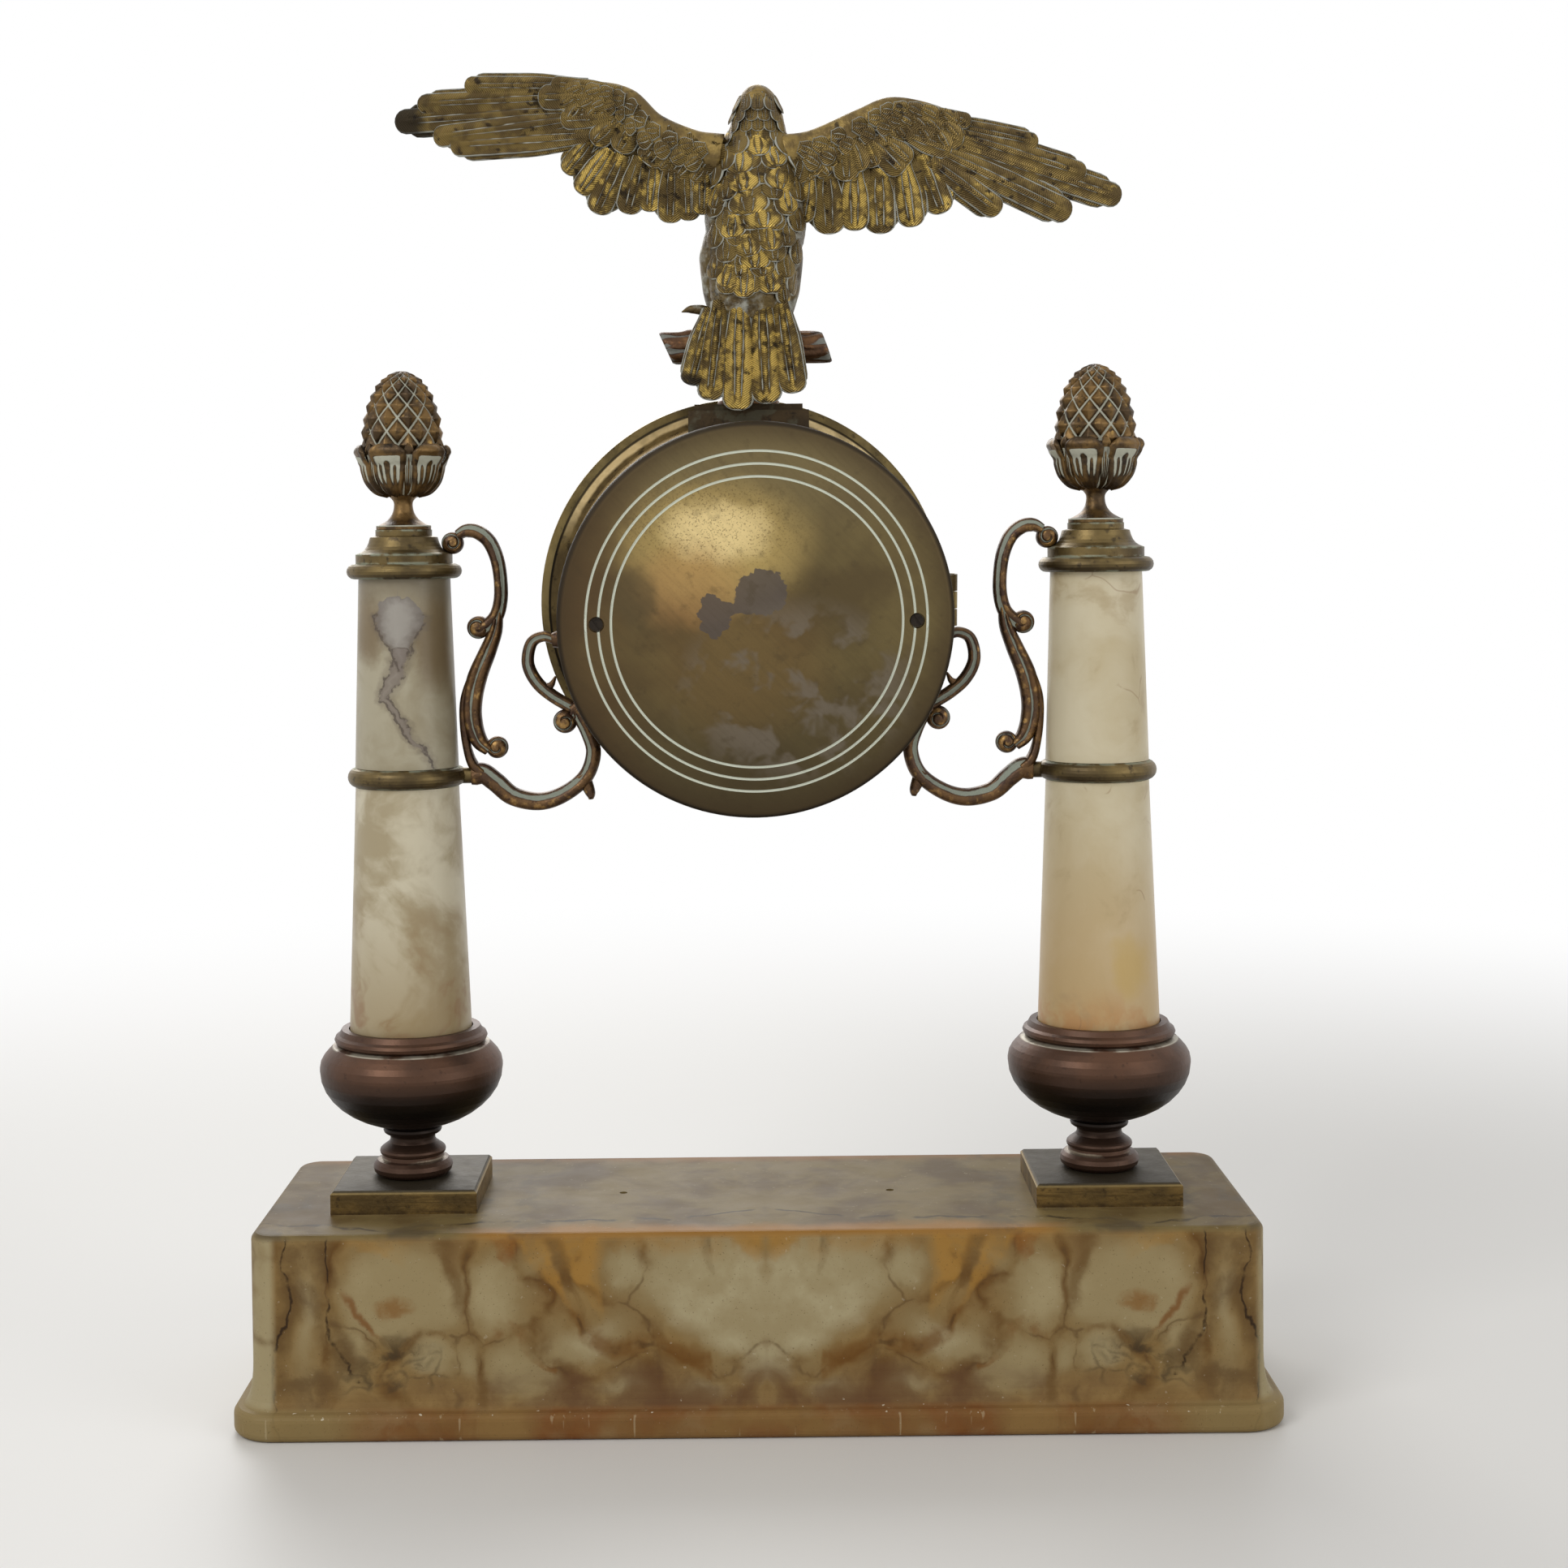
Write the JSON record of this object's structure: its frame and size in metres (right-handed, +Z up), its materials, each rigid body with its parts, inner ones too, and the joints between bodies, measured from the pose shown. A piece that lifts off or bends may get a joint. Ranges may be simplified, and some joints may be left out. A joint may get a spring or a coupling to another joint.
{
  "type": "column mantel clock",
  "caption": "Mantel clock: a drum movement held by scroll brackets between tapered stone columns with pinecone finials on a stone base, under a spread eagle; hinged bezel, working gear train.",
  "frame": {"origin": "centre of the base block on the table", "axes": "+Z up, the dial faces -Y, the back cover that the picture shows faces +Y, +X is to the right seen from the dial"},
  "size_m": [0.33, 0.108, 0.4318],
  "materials": {
    "alabaster": "polished alabaster stone with warm cloudy veins",
    "brown_bronze": "dark brown patinated, satin",
    "gilt_bronze": "worn gilding with dark recesses",
    "brass": "aged, lightly polished",
    "steel": "dulled",
    "blued_steel": "blued",
    "enamel": "white enamel",
    "glass": "clear domed glass"
  },
  "bodies": {
    "clock": {"base_block": "alabaster", "column_plate_left": "brass", "column_plate_right": "brass", "urn_left": "brown_bronze", "urn_right": "brown_bronze", "column_lower_left": "alabaster", "column_lower_right": "alabaster", "column_ring_left": "brass", "column_ring_right": "brass", "column_upper_left": "alabaster", "column_upper_right": "alabaster", "column_cap_left": "brass", "column_cap_right": "brass", "finial_left": "gilt_bronze", "finial_right": "gilt_bronze", "tie_rod_left": "steel", "tie_rod_right": "steel", "tie_rod_nuts": "steel", "scroll_bracket_left": "gilt_bronze", "scroll_bracket_right": "gilt_bronze", "bracket_screws": "steel", "drum_case": "brass", "bezel_seat": "brass", "hinge_pin": "brass", "dial": "enamel", "back_cover": "brass", "cover_screws": "steel", "case_straps": "brass", "eagle_saddle": "brass", "perch": "gilt_bronze", "eagle_stud": "steel", "eagle_body": "gilt_bronze", "eagle_wing_left": "gilt_bronze", "eagle_wing_right": "gilt_bronze", "front_plate": "brass", "back_plate": "brass", "pillars": "brass", "pillar_screws": "steel", "movement_feet": "brass", "click_spring": "steel", "hairspring": "steel", "balance_cock": "brass"},
    "bezel": {"bezel": "brass", "bezel_glass": "glass"},
    "minute": {"centre_arbor": "brass", "cannon_pinion": "brass", "minute_hand": "blued_steel"},
    "hour": {"hour_wheel": "brass", "hour_hand": "blued_steel"},
    "minute_wheel": {"minute_wheel": "brass"},
    "barrel": {"barrel": "brass", "mainspring": "steel"},
    "winding": {"barrel_arbor": "steel", "ratchet_wheel": "steel"},
    "click": {"click": "steel"},
    "third": {"third_wheel": "brass"},
    "fourth": {"fourth_wheel": "brass"},
    "escape": {"escape_wheel": "brass"},
    "lever": {"lever": "steel"},
    "balance": {"balance": "brass"}
  },
  "joints": [
    {"name": "bezel_hinge", "type": "hinge", "parent": "clock", "child": "bezel", "pos_m": [-0.06856, -0.0325, 0.2571], "axis": [0.0075, -0.0956, -0.9954], "range_deg": [0, 110]},
    {"name": "minute_arbor", "type": "hinge", "parent": "clock", "child": "minute", "pos_m": [0, 0, 0.2545], "axis": [-0.0781, 0.9923, -0.0958], "continuous": true},
    {"name": "hour_pipe", "type": "hinge", "parent": "clock", "child": "hour", "pos_m": [0, 0, 0.2545], "axis": [-0.0781, 0.9923, -0.0958], "continuous": true},
    {"name": "minute_wheel_turn", "type": "hinge", "parent": "clock", "child": "minute_wheel", "pos_m": [-0.00606, 0.00052, 0.26484], "axis": [-0.0781, 0.9923, -0.0958], "continuous": true},
    {"name": "barrel_turn", "type": "hinge", "parent": "clock", "child": "barrel", "pos_m": [0.00018, -0.00229, 0.23061], "axis": [-0.0781, 0.9923, -0.0958], "continuous": true},
    {"name": "winding_turn", "type": "hinge", "parent": "clock", "child": "winding", "pos_m": [0.00018, -0.00229, 0.23061], "axis": [-0.0781, 0.9923, -0.0958], "continuous": true},
    {"name": "click_pivot", "type": "hinge", "parent": "clock", "child": "click", "pos_m": [0.0052, -0.00079, 0.24207], "axis": [0.0781, -0.9923, 0.0958], "range_deg": [0, 10], "stiffness_Nm_per_rad": 0.002},
    {"name": "third_turn", "type": "hinge", "parent": "clock", "child": "third", "pos_m": [0.01286, 0.0025, 0.26994], "axis": [-0.0781, 0.9923, -0.0958], "continuous": true},
    {"name": "fourth_turn", "type": "hinge", "parent": "clock", "child": "fourth", "pos_m": [-0.00188, 0.00216, 0.2784], "axis": [-0.0781, 0.9923, -0.0958], "continuous": true},
    {"name": "escape_turn", "type": "hinge", "parent": "clock", "child": "escape", "pos_m": [-0.01444, 0.00117, 0.2784], "axis": [-0.0781, 0.9923, -0.0958], "continuous": true},
    {"name": "lever_rock", "type": "hinge", "parent": "clock", "child": "lever", "pos_m": [-0.02224, 0.00003, 0.27292], "axis": [-0.0781, 0.9923, -0.0958], "range_deg": [-4, 4]},
    {"name": "balance_swing", "type": "hinge", "parent": "clock", "child": "balance", "pos_m": [-0.03252, -0.00114, 0.26918], "axis": [-0.0781, 0.9923, -0.0958], "range_deg": [-120, 120], "stiffness_Nm_per_rad": 0.000016}
  ],
  "couplings": [
    {"joint": "hour_pipe", "follows": "minute_arbor", "ratio": 0.083333},
    {"joint": "minute_wheel_turn", "follows": "minute_arbor", "ratio": -0.33333},
    {"joint": "barrel_turn", "follows": "minute_arbor", "ratio": -0.14286},
    {"joint": "third_turn", "follows": "minute_arbor", "ratio": -8},
    {"joint": "fourth_turn", "follows": "minute_arbor", "ratio": 60},
    {"joint": "escape_turn", "follows": "minute_arbor", "ratio": -480}
  ]
}
